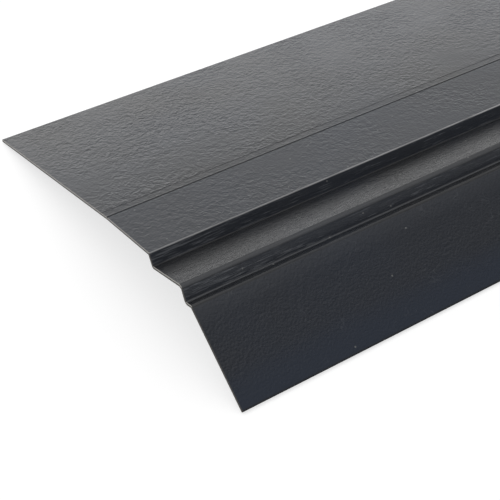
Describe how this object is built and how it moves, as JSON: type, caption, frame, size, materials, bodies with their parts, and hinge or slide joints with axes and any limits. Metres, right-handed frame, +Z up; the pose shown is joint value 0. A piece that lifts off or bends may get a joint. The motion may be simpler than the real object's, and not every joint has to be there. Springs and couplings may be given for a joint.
{
  "type": "eaves support tray",
  "caption": "Stepped strip of folded sheet that bridges from the rafters over the fascia board into the gutter and holds up the roof underlay at the eaves.",
  "frame": {"origin": "middle of the footprint, on the floor that the tray stands on", "axes": "+X along the tray, +Y up the roof towards the back edge, -Y towards the gutter, +Z up"},
  "size_m": [1.5, 0.1994, 0.0313],
  "materials": {
    "tray": "satin black plastic with an embossed grain"
  },
  "bodies": {
    "root": {"tray": "tray"}
  },
  "joints": []
}
